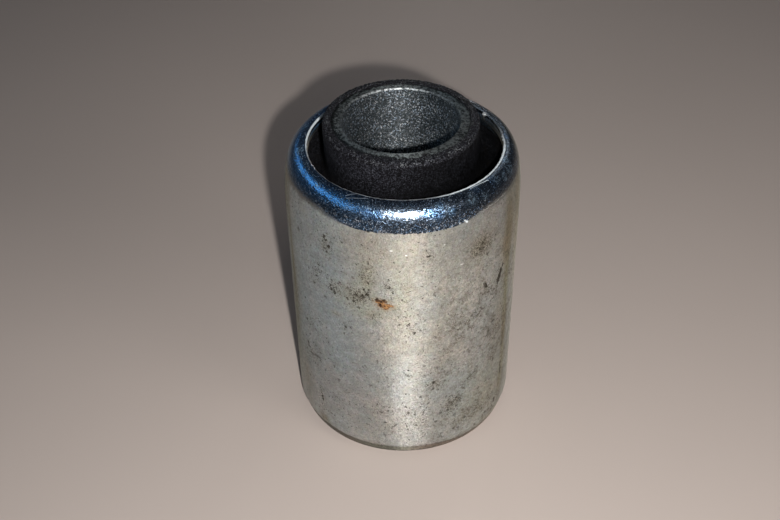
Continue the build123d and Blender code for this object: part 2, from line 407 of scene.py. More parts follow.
STAINS_AND_EDGE_SHADE = [
    ("olive", -107.0, 33.85, 0.92, 2.4, 0.55), ("olive", -115.4, 30.08, 2.26, 1.6, 0.45),
    ("olive", -105.1, 27.9, 1.81, 1.0, 0.45), ("rust", -123.9, 26.08, 0.88, 0.4, 0.35),
    # the brown band at -159.2° here and the one at -32.9° run along the wall's left and right edges as seen from the
    # front: painted shade
    ("brown", -50.4, 37.34, 1.71, 1.8, 0.45), ("brown", -159.2, 23.87, 1.44, 6.8, 0.55),
    ("brown", -152.6, 8.37, 1.27, 3.6, 0.45), ("brown", -30.7, 34.21, 1.14, 1.8, 0.6),
    ("brown", -136.8, 2.1, 0.85, 0.8, 0.6), ("olive", -90.3, 30.91, 1.17, 4.4, 0.35),
    ("brown", -32.9, 24.08, 1.61, 8.0, 0.3), ("cool", -124.7, 28.38, 2.84, 6.0, 0.5),
    ("cool", -130.7, 34.61, 2.7, 4.8, 0.4), ("cool", -120.7, 17.05, 2.04, 3.2, 0.55),
    ("cool", -79.6, 30.64, 1.34, 3.2, 0.4), ("cool", -103.9, 16.85, 2.41, 2.4, 0.4),
    ("cool", -58.5, 10.63, 2.05, 2.8, 0.4), ("warm", -82.1, 38.52, 5.9, 4.8, 0.5),
    ("warm", -102.3, 39.22, 3.59, 3.2, 0.4), ("warm", -98.6, 22.44, 2.95, 2.8, 0.4),
    ("warm", -67.2, 29.71, 3.8, 6.0, 0.4), ("warm", -71.8, 21.76, 3.07, 3.2, 0.3),
    ("pink", -121.4, 9.07, 4.79, 2.8, 0.4), ("pink", -111.1, 22.53, 3.13, 2.8, 0.35),
    ("cool", -149.4, 31.23, 2.29, 6.0, 0.4), ("cool", -96.6, 13.97, 1.47, 2.8, 0.35),
    # from here, all but the olive patch at -45° are bands along the wall's right and left edges as seen from the front:
    # painted shade and painted reflection; the rust-tinted band at -168° is a painted warm reflection along the left
    # rim
    ("brown", -29.0, 37.0, 1.0, 5.0, 0.9), ("olive", -28.5, 30.0, 0.55, 3.5, 0.9), ("olive", -27.5, 23.5, 0.60, 3.5, 0.9),
    ("brown", -27.0, 17.0, 0.60, 3.5, 0.9), ("olive", -26.4, 11.0, 0.60, 2.8, 0.9), ("brown", -28.0, 6.5, 0.7, 2.0, 0.7),
    ("brown", -17.0, 39.5, 1.9, 5.5, 0.8), ("olive", -14.0, 32.0, 1.2, 5.0, 0.4), ("brown", -166.0, 39.5, 1.6, 4.5, 0.7),
    ("brown", -160.5, 27.0, 0.45, 8.0, 1.0), ("rust", -168.0, 22.0, 0.8, 16.0, 0.45), ("olive", -163.0, 15.0, 1.0, 7.0, 0.6), ("olive", -45.0, 8.0, 4.0, 5.0, 0.4),
]

STROKES = [  # gouges and scratches: a chain of (angle, height) points, then half-width in mm
    ([(-33.0, 30.9), (-34.9, 30.2)], 0.16),
    ([(-35.6, 30.7), (-34.9, 30.2)], 0.12),
    ([(-34.9, 30.2), (-35.5, 29.6)], 0.30),
    ([(-35.8, 29.5), (-36.9, 28.7)], 0.38),
    ([(-36.9, 28.7), (-37.4, 27.9)], 0.10),
    ([(-47.5, 30.1), (-46.3, 29.3)], 0.25),
    ([(-46.3, 29.3), (-45.4, 29.2)], 0.14),
    ([(-44.9, 28.4), (-42.9, 28.2), (-39.6, 27.8)], 0.05),
    ([(-42.3, 26.0), (-39.6, 26.2)], 0.09),
    ([(-98.5, 33.6), (-96.2, 33.1), (-94.4, 32.3)], 0.09),
    ([(-124.0, 24.1), (-117.7, 25.3), (-110.2, 26.8)], 0.06),
    ([(-145.4, 14.5), (-140.7, 14.8), (-137.7, 15.0), (-137.1, 14.3)], 0.13),
    ([(-96.1, 5.9), (-93.5, 6.5)], 0.12),
    ([(-125.7, 26.0), (-122.7, 25.9)], 0.10),
    ([(-90.5, 17.4), (-87.6, 16.8), (-85.6, 16.5), (-89.6, 16.5)], 0.08),
    ([(-109.1, 5.7), (-105.9, 5.1)], 0.08),
    ([(-44.6, 19.5), (-41.6, 20.1)], 0.09),
    ([(-38.5, 17.9), (-35.4, 18.4)], 0.09),
    ([(-28.2, 10.7), (-27.8, 8.2)], 0.14),
    ([(-69.8, 3.6), (-70.9, 3.3), (-70.6, 2.7), (-68.9, 2.5)], 0.11),
]
PALE = [(-70.9, 39.6, 0.16, 0.12), (-62.0, 35.5, 0.30, 0.10), (-95.2, 39.3, 0.26, 0.10), (-88.5, 38.6, 0.16, 0.10)]


def at(theta, z, r=R0):
    a = math.radians(theta)
    return Vector((r * math.cos(a), r * math.sin(a), z))


def paint_marks(ob):
    """Writes the broad, soft marks to the mesh: 'tone' tints the coat and carries painted edge shade, 'wear' holds pit
    density, soiling with painted edge shade, and the inside.
    """
    me = ob.data
    co = np.empty(len(me.vertices) * 3, np.float32)
    me.vertices.foreach_get("co", co)
    co = co.reshape(-1, 3) / MM
    th = np.degrees(np.arctan2(co[:, 1], co[:, 0]))
    tone = np.ones((len(co), 4), np.float32)
    wear = np.zeros((len(co), 4), np.float32)
    wear[:, 3] = 1
    step_in = len(outer) + len(wall) + len(roll_end[:-2]) + len(lip) // 2
    wear[:, 2] = (np.arange(len(co)) % len(sleeve_profile)) >= step_in
    out = np.hypot(co[:, 0], co[:, 1]) > 15.2
    tints = dict(cool=(0.93, 0.985, 1.03), warm=(1.06, 1.0, 0.93), pink=(1.03, 0.985, 0.985), olive=(0.93, 0.92, 0.80),
                 brown=(0.80, 0.74, 0.64), rust=(1.05, 0.88, 0.72))

    def spread(t, z, rx, rz):
        d = (th - t + 180) % 360 - 180
        q = (np.radians(d) * R0 / rx) ** 2 + ((co[:, 2] - z) / rz) ** 2
        return np.exp(-q * 0.9) * out

    for t, z, rx, rz, k in CLUSTERS:
        wear[:, 0] = np.maximum(wear[:, 0], k * spread(t, z, rx, rz))
    for kind, t, z, rx, rz, k in STAINS_AND_EDGE_SHADE:
        w = (k * spread(t, z, rx * 1.3, rz * 1.3))[:, None]
        tone[:, :3] *= 1 + (np.array(tints[kind]) - 1) * w * 1.6
        if kind in ("olive", "brown"):
            wear[:, 1] = np.maximum(wear[:, 1], w[:, 0])
    # away from the listed marks, the back carries the same kind of clusters and stains
    r2 = np.random.default_rng(21)
    for _ in range(34):
        t, z = r2.uniform(0, 180), r2.uniform(1, 42)
        wear[:, 0] = np.maximum(wear[:, 0], r2.uniform(0.3, 0.9) * spread(t, z, r2.uniform(0.8, 3.2), r2.uniform(0.8, 3.4)))
    for _ in range(30):
        kind = r2.choice(["cool", "warm", "pink", "olive", "brown", "cool", "warm"])
        t, z = r2.uniform(-5, 185), r2.uniform(0, 42)
        w = (r2.uniform(0.25, 0.5) * spread(t, z, r2.uniform(1.5, 5.5), r2.uniform(2, 7)))[:, None]
        tone[:, :3] *= 1 + (np.array(tints[str(kind)]) - 1) * w * 1.6
    for name, data in (("tone", tone), ("wear", wear)):
        a = me.color_attributes.new(name, "FLOAT_COLOR", "POINT")
        a.data.foreach_set("color", data.ravel())


# Light scratches near the rolled edge: chains of points in mm, then half-width
SCRATCHES = [
    ([(-7.23, -12.23, 45.15), (-6.55, -12.10, 45.26), (-5.83, -12.03, 45.30)], 0.06),
    ([(-7.19, -12.60, 45.02), (-5.80, -12.86, 45.17), (-4.41, -13.01, 45.27)], 0.05),
    ([(8.80, -11.00, 45.27), (9.95, -10.05, 45.26), (11.15, -9.12, 45.20)], 0.07),
]
# Dull scuffs on the shoulder: centre and half-size in mm
SCUFFS = [
    (13.79, -4.52, 45.18, 0.75), (14.15, -5.65, 44.68, 0.95), (13.49, -7.31, 44.54, 0.70), (12.38, -8.60, 44.85, 0.75),
    (8.91, -12.37, 44.60, 0.85), (10.65, -11.28, 44.25, 0.60), (4.74, -14.20, 44.83, 0.70), (6.00, -14.38, 44.05, 0.60),
    (-10.96, -9.47, 45.00, 0.50), (-13.94, -1.75, 45.16, 0.80), (13.90, -1.20, 45.15, 0.60), (-13.6, 4.2, 45.1, 0.7),
    (3.2, 14.1, 44.7, 0.9), (-8.4, 12.2, 44.6, 0.7), (10.9, 10.6, 44.4, 0.8),
]
# Blue patches there, centre and radius in mm: the first six, beside the front, are a painted blue fringe round the
# highlight; the rest are blue tarnish
BLUE_FRINGE_AND_TARNISH = [(-4.61, -14.77, 44.11, 0.9), (-3.40, -15.10, 44.02, 1.0), (3.47, -15.04, 44.27, 0.9), (4.60, -14.90, 44.04, 1.0),
           (6.26, -14.31, 44.00, 0.7), (4.74, -14.20, 44.83, 0.7), (9.39, -11.0, 45.0, 0.8), (11.6, -8.9, 45.0, 0.8),
           (13.3, -4.4, 45.1, 0.8), (14.0, 1.0, 45.1, 0.9), (-12.6, 6.5, 44.9, 1.0), (2.0, 14.6, 44.6, 0.9), (9.8, 11.2, 44.4, 0.9)]
FLECKS = [(8.25, -13.93, 42.10, 0.16), (7.35, -14.40, 42.22, 0.11), (6.35, -14.95, 42.15, 0.10), (8.00, -14.02, 42.35, 0.12),
          (-7.37, -14.39, 41.98, 0.10), (3.10, -15.98, 42.20, 0.12), (1.00, -16.20, 42.12, 0.11), (-2.6, -16.05, 42.20, 0.10)]


def zinc_material():
    g = Graph("zinc_plate")
    warp = g.vec("SCALE", g.vec("SUBTRACT", g.noise(2.6, None, 3, 0.6, 0.0, 6.6, colour=True), (0.5, 0.5, 0.5)), scale=0.42)
    loose = g.vec("ADD", g.mm, warp)
    half = g.vec("ADD", g.mm, g.vec("SCALE", warp, scale=0.5))
    eaten = g.vec("ADD", loose, g.vec("SCALE", g.vec("SUBTRACT", g.noise(4.6, None, 2, 0.8, 0.0, 16.6, colour=True), (0.5, 0.5, 0.5)), scale=0.85))

    def attribute(name):
        n = g.t.nodes.new("ShaderNodeAttribute")
        n.attribute_name = name
        return n.outputs["Color"]

    tone = attribute("tone")
    parts = g.t.nodes.new("ShaderNodeSeparateColor")
    g.put(parts.inputs[0], attribute("wear"))
    dense, dirt_and_edge_shade, inside = parts.outputs

    def near_spots(spots, where):
        """Distance to the nearest listed spot, 1 at its edge."""
        best = None
        for t, z, rx, rz in spots:
            c = at(t, z)
            d = g.vec("LENGTH", g.vec("MULTIPLY_ADD", where, (1 / rx, 1 / rx, 1 / rz), (-c.x / rx, -c.y / rx, -c.z / rz)))
            best = d if best is None else g.math("MINIMUM", best, d)
        return best

    def near_balls(balls, where):
        best = None
        for x, y, z, r in balls:
            d = g.math("DIVIDE", g.vec("DISTANCE", where, (x, y, z)), r)
            best = d if best is None else g.math("MINIMUM", best, d)
        return best

    def near_chains(chains, where):
        best = None
        for chain, width in chains:
            for p, q in zip(chain, chain[1:]):
                a, b = Vector(p), Vector(q)
                ab = b - a
                u = g.vec("DOT_PRODUCT", g.vec("SUBTRACT", where, tuple(a)), tuple(ab / ab.length_squared))
                foot = g.vec("SCALE", tuple(ab), scale=g.math("MULTIPLY", u, 1.0, clamp=True))
                d = g.math("DIVIDE", g.vec("DISTANCE", g.vec("SUBTRACT", where, foot), tuple(a)), width)
                best = d if best is None else g.math("MINIMUM", best, d)
        return best

    # slow cloud of cool grey-green and warm grey, drawn out up and down
    big = g.noise(0.13, g.stretched(1, 1, 0.7), 3, 0.55, 0.3, 3.1)
    mid = g.noise(0.55, g.stretched(1, 1, 0.6), 3, 0.6, 0.5, 7.7)
    cloud = g.step(g.math("ADD", g.math("MULTIPLY", big, 0.6), g.math("MULTIPLY", mid, 0.4)), 0.40, 0.62)
    base = g.mix(cloud, (0.405, 0.418, 0.403), (0.452, 0.432, 0.400))
    base = g.mix(1.0, base, tone, "MULTIPLY")
    # fine streaks from the bath, running up and down
    streak = g.noise(1.6, g.stretched(1, 1, 0.05), 4, 0.6, 0.0, 1.7)
    base = g.mix(g.step(streak, 0.30, 0.75, -0.10, 0.22), base, (0.46, 0.455, 0.43))
    tint = g.noise(1.7, None, 3, 0.65, 0.6, 11.3, colour=True)
    base = g.mix(0.12, base, tint, "OVERLAY")
    # crystalline mottle of the coat, at three sizes
    fine = g.noise(3.0, None, 2, 0.8, 0.0, 5.5)
    grit = g.noise(5.2, None, 1, 0.5, 0.0, 3.3)
    soft = g.noise(0.95, None, 3, 0.6, 0.4, 15.5)
    level = g.math("ADD", g.math("MULTIPLY", g.math("SUBTRACT", fine, 0.5), 1.25), g.math("MULTIPLY", g.math("SUBTRACT", soft, 0.5), 0.60))
    level = g.math("ADD", level, g.math("MULTIPLY", g.math("SUBTRACT", grit, 0.5), 0.85))
    base = g.vec("SCALE", base, scale=g.math("MAXIMUM", g.math("ADD", 1.02, level), 0.30))
    # painted shade: the coat is darkened by up to 14% towards the top of the wall, which dims the highlight there
    base = g.vec("SCALE", base, scale=g.step(g.z, 31.0, 41.0, 1.0, 0.86))
    # small dark pits everywhere, many more where the coat has started to go
    speck = g.noise(2.9, None, 3, 0.62, 0.2, 8.8)
    gate = g.math("ADD", g.math("ADD", speck, g.math("MULTIPLY", dense, 0.05)), g.math("MULTIPLY", big, 0.10))
    tiny = g.step(gate, 0.67, 0.73)
    lace = g.noise(4.4, None, 2, 0.9, 0.2, 14.1)
    net = g.step(g.math("ADD", lace, g.math("MULTIPLY", dense, 0.17)), 0.70, 0.735)
    freckle = g.step(g.math("ADD", lace, g.math("MULTIPLY", dense, 0.20)), 0.60, 0.70)
    between = g.math("MULTIPLY", g.step(lace, 0.50, 0.42), g.step(dense, 0.30, 0.75))
    pits = g.math("MULTIPLY", g.math("MULTIPLY", g.step(near_spots(PITS, eaten), 1.26, 0.80), g.step(dense, 0.05, 0.50, 0.66, 1.0)), g.step(lace, 0.30, 0.52, 0.66, 1.0))
    cuts = g.step(near_chains([([at(*p) for p in chain], w) for chain, w in STROKES], g.vec("ADD", half, g.vec("SCALE", g.vec("SUBTRACT", eaten, loose), scale=1.25))), 1.6, 0.8)
    cuts = g.math("MULTIPLY", g.math("MULTIPLY", cuts, g.step(g.x, 6.0, 12.0, 0.62, 1.0)), g.step(lace, 0.33, 0.42, 0.25, 1.0))
    faint = g.step(g.x, 1.0, 8.0, 1.0, 0.84)
    dark = g.math("MAXIMUM", g.math("MULTIPLY", g.math("MAXIMUM", g.math("MULTIPLY", g.math("MAXIMUM", tiny, net), 0.94), pits), faint), cuts)
    # olive mottling and thin crooked marks, strongest low on the right
    side = g.math("MULTIPLY", g.step(g.x, 1.0, 9.0), g.step(g.z, 42.0, 30.0))
    mottle = g.math("MULTIPLY", g.step(g.noise(2.0, None, 3, 0.8, 0.3, 27.1), 0.47, 0.66), g.math("ADD", 0.12, g.math("MULTIPLY", side, 0.38)))
    crooked = g.math("ABSOLUTE", g.math("SUBTRACT", g.noise(1.4, None, 3, 0.8, 0.5, 23.7), 0.5))
    crooked = g.math("MULTIPLY", g.step(crooked, 0.095, 0.030), g.step(g.noise(0.5, None, 2, 0.6, 0.0, 25.2), 0.47, 0.60))
    crooked = g.math("MULTIPLY", g.math("MULTIPLY", crooked, g.step(fine, 0.42, 0.56)), g.math("ADD", 0.28, g.math("MULTIPLY", side, 0.50)))
    # painted light: the coat is lightened by up to 27% low on the right, and by 12% on the left, up to 19% above
    # mid-height
    base = g.vec("SCALE", base, scale=g.math("ADD", 1.0, g.math("MULTIPLY", side, 0.27)))
    base = g.vec("SCALE", base, scale=g.math("ADD", g.step(g.x, -1.0, -5.0, 1.0, 1.12), g.math("MULTIPLY", g.step(g.x, -2.0, -6.0, 0.0, 0.07), g.step(g.z, 13.0, 22.0))))
    base = g.mix(mottle, base, (0.225, 0.200, 0.135))
    base = g.mix(crooked, base, (0.090, 0.068, 0.042))
    # soiling and the painted shade of the edge bands darken the coat in noisy patches and make it rougher and less
    # metallic
    grime_and_edge_shade = g.math("MULTIPLY", dirt_and_edge_shade, g.step(g.noise(1.9, None, 4, 0.7, 0.4, 9.9), 0.46, 0.62))
    base = g.mix(g.math("MULTIPLY", grime_and_edge_shade, 0.75), base, (0.17, 0.14, 0.095))
    base = g.mix(g.math("MULTIPLY", between, 0.38), base, (0.60, 0.56, 0.46))
    base = g.mix(g.math("MULTIPLY", freckle, 0.58), base, (0.120, 0.096, 0.060))
    base = g.mix(g.math("MULTIPLY", dark, 0.97), base, (0.018, 0.013, 0.007))
    # one spot of red rust with a dark heart, and a thin stain round it
    rust_field = near_spots([(-101.9, 30.45, 0.46, 0.42), (-99.8, 30.5, 0.70, 0.32), (-100.3, 30.0, 0.50, 0.50), (-98.6, 29.75, 0.62, 0.46), (-96.5, 29.8, 0.60, 0.30), (-98.0, 29.3, 0.40, 0.26)], eaten)
    rust = g.step(rust_field, 1.15, 0.75)
    halo = g.step(rust_field, 2.8, 0.9)
    heart = g.step(near_spots([(-102.2, 30.75, 0.34, 0.34), (-100.4, 30.5, 0.34, 0.22), (-98.9, 30.7, 0.32, 0.22), (-100.5, 29.9, 0.24, 0.30)], eaten), 1.20, 0.70)
    rusty = g.noise(4.8, None, 2, 0.85, 0.0, 1.4)
    base = g.mix(g.math("MULTIPLY", halo, g.step(fine, 0.35, 0.6, 0.15, 0.6)), base, (0.34, 0.24, 0.13))
    ochre = g.mix(g.step(rusty, 0.45, 0.58), (0.110, 0.048, 0.018), (0.52, 0.265, 0.100))
    ochre = g.mix(g.step(rust_field, 0.45, 1.0, 0.0, 0.55), ochre, (0.130, 0.065, 0.030))
    base = g.mix(g.math("MULTIPLY", rust, 0.95), base, ochre)
    base = g.mix(g.math("MULTIPLY", heart, g.step(rusty, 0.60, 0.42, 0.80, 1.0)), base, (0.020, 0.009, 0.005))
    # painted glints: a few small near-white specks on the wall
    pale = g.step(near_spots(PALE, g.mm), 1.2, 0.6)
    base = g.mix(pale, base, (0.85, 0.85, 0.82))
    dark = g.math("MAXIMUM", dark, g.math("MAXIMUM", rust, heart))

    slope = g.math("ADD", g.step(g.z, 0.0, 18.0, 0.39, 0.56), g.step(g.z, 10.0, 42.0, 0.0, 0.24))
    rough = g.math("ADD", slope, g.math("MULTIPLY", g.math("SUBTRACT", fine, 0.5), 0.22))
    rough = g.lerp(dark, g.math("ADD", rough, g.math("MULTIPLY", grime_and_edge_shade, 0.2)), 0.95)

    # burnished shoulder: crisp at the front where the roller stopped, fading over a millimetre at the sides
    uneven = g.math("MULTIPLY", g.math("SUBTRACT", g.noise(1.7, None, 3, 0.7), 0.5), 0.55)
    edge = g.math("ADD", g.z, g.math("ADD", uneven, g.step(g.y, -13.0, -15.5, 0.0, 0.22)))
    width = g.step(g.y, -15.0, -11.0, 0.12, 1.3)
    polish = g.step(edge, 42.06, g.math("ADD", 42.06, width))
    shade = g.noise(0.8, None, 3, 0.6, 0.3, 4.9)
    bright = g.mix(g.step(shade, 0.35, 0.65), (0.120, 0.165, 0.230), (0.215, 0.270, 0.345))
    # painted highlight: the roll's colour is multiplied by 1.75 at the very front, where the key light's highlight
    # sits, and by 1.22 on the left as a painted reflection
    bright = g.vec("SCALE", bright, scale=g.math("MULTIPLY", g.step(g.y, -12.5, -15.3, 1.0, 1.75), g.step(g.x, -3.0, -8.0, 1.0, 1.22)))
    # painted shade: the lowest part of the roll at the front is darkened and tinted dark blue, standing in for a dark
    # reflection, and is strewn with more glints
    low = g.math("MULTIPLY", g.step(edge, 43.9, 43.1), g.step(g.y, -9.0, -13.0))
    bright = g.vec("SCALE", bright, scale=g.math("SUBTRACT", 1.0, g.math("MULTIPLY", low, 0.54)))
    bright = g.mix(g.math("MULTIPLY", low, 0.45), bright, (0.040, 0.085, 0.150))
    # painted reflection: the left of the roll is tinted blue, and a band along the path of the left strip light's
    # reflection is painted strong blue, so that reflection shows as a bright blue streak
    streak_band = g.math("MULTIPLY", g.step(g.x, -4.0, -9.0), g.math("MULTIPLY", g.step(g.z, 43.2, 44.5), g.step(g.z, 45.25, 45.08, 0.22, 1.0)))
    bright = g.mix(g.step(g.x, -2.0, -6.0, 0.0, 0.35), bright, (0.100, 0.260, 0.480))
    bright = g.mix(g.math("MULTIPLY", streak_band, 0.86), bright, (0.185, 0.450, 0.830))
    # painted shade: the right of the roll is darkened by up to 30%
    bright = g.vec("SCALE", bright, scale=g.step(g.x, 4.0, 10.0, 1.0, 0.70))
    # blue patches: a painted blue fringe on both sides of the front highlight, and blue tarnish further round
    blue = g.step(near_balls(BLUE_FRINGE_AND_TARNISH, g.vec("ADD", loose, warp)), 1.3, 0.4)
    bright = g.mix(g.math("MULTIPLY", blue, g.step(g.x, 7.0, 10.0, 0.8, 0.30)), bright, (0.140, 0.300, 0.560))
    sparkle = g.noise(5.4, None, 2, 0.85, 0.0, 13.7)
    glint = g.step(g.math("ADD", sparkle, g.math("MULTIPLY", low, 0.04)), 0.56, 0.68)
    bright = g.mix(g.math("MULTIPLY", glint, g.math("ADD", g.step(g.x, -3.0, -8.0, 0.55, 0.80), g.math("MULTIPLY", low, 0.40), clamp=True)), bright, g.mix(g.step(g.noise(3.1, None, 1, 0.5, 0.0, 21.7), 0.42, 0.58), (0.36, 0.58, 0.92), (0.72, 0.77, 0.84)))
    bright = g.mix(g.step(sparkle, 0.47, 0.36, 0.0, 0.80), bright, (0.022, 0.030, 0.042))
    scuffed = g.math("MULTIPLY", g.step(near_balls(SCUFFS, loose), 1.35, 0.55), g.step(g.noise(3.0, None, 3, 0.9, 0.0, 12.4), 0.46, 0.56))
    bright = g.mix(g.math("MULTIPLY", scuffed, 0.65), bright, (0.25, 0.36, 0.45))
    bright = g.mix(g.math("MULTIPLY", dark, 0.6), bright, (0.03, 0.03, 0.03))
    # painted reflection: away from the front the lower part of the roll is painted dull dark brown and made rougher,
    # standing in for the shaded floor it reflects
    floor_reflection_band = g.math("MULTIPLY", g.step(g.y, -14.6, -10.5), g.step(g.math("ADD", g.z, g.math("MULTIPLY", uneven, 2.0)), 43.9, 42.6))
    bright = g.mix(g.math("MULTIPLY", floor_reflection_band, 0.8), bright, (0.105, 0.092, 0.072))
    # a dark, ragged line along the boundary at the front, with light flecks
    ring = g.math("MULTIPLY", g.step(edge, 42.50, 42.12), g.step(g.y, -10.0, -14.0))
    bright = g.mix(g.math("MULTIPLY", ring, g.step(sparkle, 0.60, 0.45, 0.0, 0.8)), bright, (0.022, 0.026, 0.030))
    base = g.mix(polish, base, bright)
    shine = g.math("ADD", 0.20, g.math("ADD", g.math("MULTIPLY", scuffed, 0.08), g.math("MULTIPLY", glint, 0.14)))
    shine = g.math("ADD", shine, g.math("SUBTRACT", g.math("MULTIPLY", floor_reflection_band, 0.14), g.math("MULTIPLY", streak_band, 0.05)))
    rough = g.lerp(polish, rough, shine)
    metal = g.math("SUBTRACT", 0.58, g.math("MULTIPLY", g.math("MAXIMUM", dark, g.math("MULTIPLY", grime_and_edge_shade, 0.6)), 0.53))
    metal = g.lerp(polish, metal, g.math("SUBTRACT", 1.0, g.math("MULTIPLY", g.math("MAXIMUM", glint, scuffed), 0.18)))

    # the sheared edge of the sheet is bright along its upper corner, painted whiter and less metallic on the right and
    # on the left as a painted highlight and dimmed at the back right; below it the cut face is painted black as painted
    # shade
    from_lip = g.vec("LENGTH", g.vec("MULTIPLY", g.vec("SUBTRACT", g.mm, (0.39, 0, 0)), (1, 1, 0)))
    sunny = g.math("MULTIPLY", g.step(g.x, 2.5, 7.0), g.step(g.y, 2.0, -2.5))
    dawn = g.math("MULTIPLY", g.step(g.x, -7.0, -11.0), g.step(g.y, -4.0, 1.5))
    reach = g.math("SUBTRACT", g.math("ADD", from_lip, g.math("MULTIPLY", uneven, 0.27)), g.math("ADD", g.math("MULTIPLY", sunny, 0.13), g.math("MULTIPLY", dawn, 0.05)))
    corner = g.math("MULTIPLY", g.step(reach, 13.61, 13.51), g.step(g.z, 45.08, 45.17))
    cut = g.math("MULTIPLY", g.step(inside, 0.2, 0.8), g.step(g.z, 45.14, 45.02))
    light = g.math("MULTIPLY", g.step(near_chains(SCRATCHES, half), 1.5, 0.7), 0.55)
    light = g.math("MAXIMUM", light, g.math("MULTIPLY", g.step(near_balls(FLECKS, loose), 1.4, 0.8), 0.8))
    behind = g.step(g.y, 0.5, 4.5)
    corner = g.math("MULTIPLY", corner, g.math("SUBTRACT", 1.0, g.math("MULTIPLY", g.math("MULTIPLY", behind, g.step(g.x, 0.0, 4.0)), 0.60)))
    light = g.math("MAXIMUM", light, g.step(g.vec("DISTANCE", g.mm, (11.45, 6.75, 45.35)), 0.62, 0.30))
    line = g.math("MAXIMUM", g.math("MULTIPLY", corner, g.step(sparkle, 0.36, 0.54, g.lerp(g.math("MAXIMUM", sunny, dawn), 0.50, 0.78), 1.0)), light)
    base = g.mix(line, base, g.mix(g.math("MAXIMUM", sunny, g.math("MULTIPLY", dawn, 0.8)), (0.56, 0.59, 0.62), (0.87, 0.95, 1.0)))
    rough = g.lerp(line, rough, g.lerp(sunny, 0.42, 0.28))
    metal = g.lerp(line, metal, g.lerp(g.math("MAXIMUM", sunny, dawn), 0.55, 0.12))
    # painted shade: the cut face and the inside of the sleeve under the lip are painted nearly black
    base = g.mix(cut, base, g.mix(g.step(sparkle, 0.52, 0.60), (0.002, 0.003, 0.005), (0.045, 0.062, 0.082)))
    metal = g.lerp(cut, metal, 0.3)
    rough = g.lerp(cut, rough, 0.6)

    # lead-in at the lower end: turned bare after plating, dull and greenish; its darkness is partly the bare steel and
    # partly a painted reflection of the shaded floor below it, and the band reaches higher at the front and on the left
    ahead = g.math("ADD", g.math("MULTIPLY", g.x, -0.0118), g.math("MULTIPLY", g.y, -0.0597))
    top = g.math("ADD", g.step(ahead, 0.70, 0.99, 0.80, 1.35), g.math("MULTIPLY", g.step(g.x, -8.0, -13.0, 0.0, 0.42), g.step(g.y, 1.0, -4.0)))
    wav = g.math("ADD", g.z, g.math("MULTIPLY", g.math("SUBTRACT", g.noise(0.9, None, 4, 0.75, 0.0, 2.0), 0.5), 0.55))
    below = g.math("SUBTRACT", wav, top)
    lead = g.step(below, 0.08, -0.06)
    bare = g.mix(g.step(ahead, 0.90, 0.99), (0.235, 0.190, 0.152), (0.190, 0.190, 0.152))
    # painted shade: the lead-in on the left is painted nearly black
    bare = g.mix(g.math("MULTIPLY", g.step(g.x, -5.5, -11.5, 0.0, 0.85), g.step(g.y, 1.0, -4.0, 0.35, 1.0)), bare, (0.030, 0.024, 0.018))
    bare = g.vec("SCALE", bare, scale=g.step(g.noise(2.4, None, 3, 0.85, 0.0, 2.7), 0.38, 0.62, 0.55, 1.35))
    # painted shade: a dark line along the lowest edge, except on the right
    bare = g.mix(g.math("MULTIPLY", g.step(g.z, 0.42, 0.12, 0.0, 0.75), g.step(g.x, 9.0, 3.0)), bare, (0.070, 0.062, 0.050))
    base = g.mix(g.math("MULTIPLY", lead, 0.95), base, bare)
    rim = g.math("MULTIPLY", g.step(below, 0.34, 0.08), g.step(below, -0.16, 0.02))
    rim = g.math("MULTIPLY", rim, g.step(fine, 0.62, 0.40, 0.3, 1.0))
    base = g.mix(g.math("MULTIPLY", rim, g.step(ahead, 0.99, 0.88, 0.25, 0.85)), base, (0.085, 0.065, 0.048))

    grain = g.noise(3.4, None, 3, 0.75, 0.0, 2.2)
    grain = g.math("MULTIPLY", grain, g.lerp(polish, 1.0, 0.70))
    dimples = g.math("MULTIPLY", g.noise(1.3, None, 2, 0.6, 0.0, 6.9), g.math("MULTIPLY", polish, 0.9))
    ribs = g.math("MULTIPLY", g.noise(2.4, g.stretched(1, 1, 0.25), 2, 0.6, 0.0, 10.9), g.math("MULTIPLY", polish, 0.45))
    grain = g.math("ADD", g.math("ADD", grain, dimples), ribs)
    rings = g.noise(2.6, g.stretched(0.12, 0.12, 3.0), 3, 0.6, 0.0, 9.1)
    n1 = g.bump(grain, 0.055 * MM, 1.0)
    n2 = g.bump(rings, 0.006 * MM, 1.0, n1)
    lay = g.math("MULTIPLY", g.math("SUBTRACT", g.noise(4.2, None, 2, 0.8, 0.0, 18.3), 0.5), g.step(g.x, -9.0, -3.5, 3.5, 13.0))
    g.turned(0.25, polish, lay)
    return g.set(color=base, rough=rough, metal=metal, normal=n2, aniso=1.0, spec=0.22, sheen=0.08, sheen_rough=0.30, sheen_tint=(1.0, 0.92, 0.74))


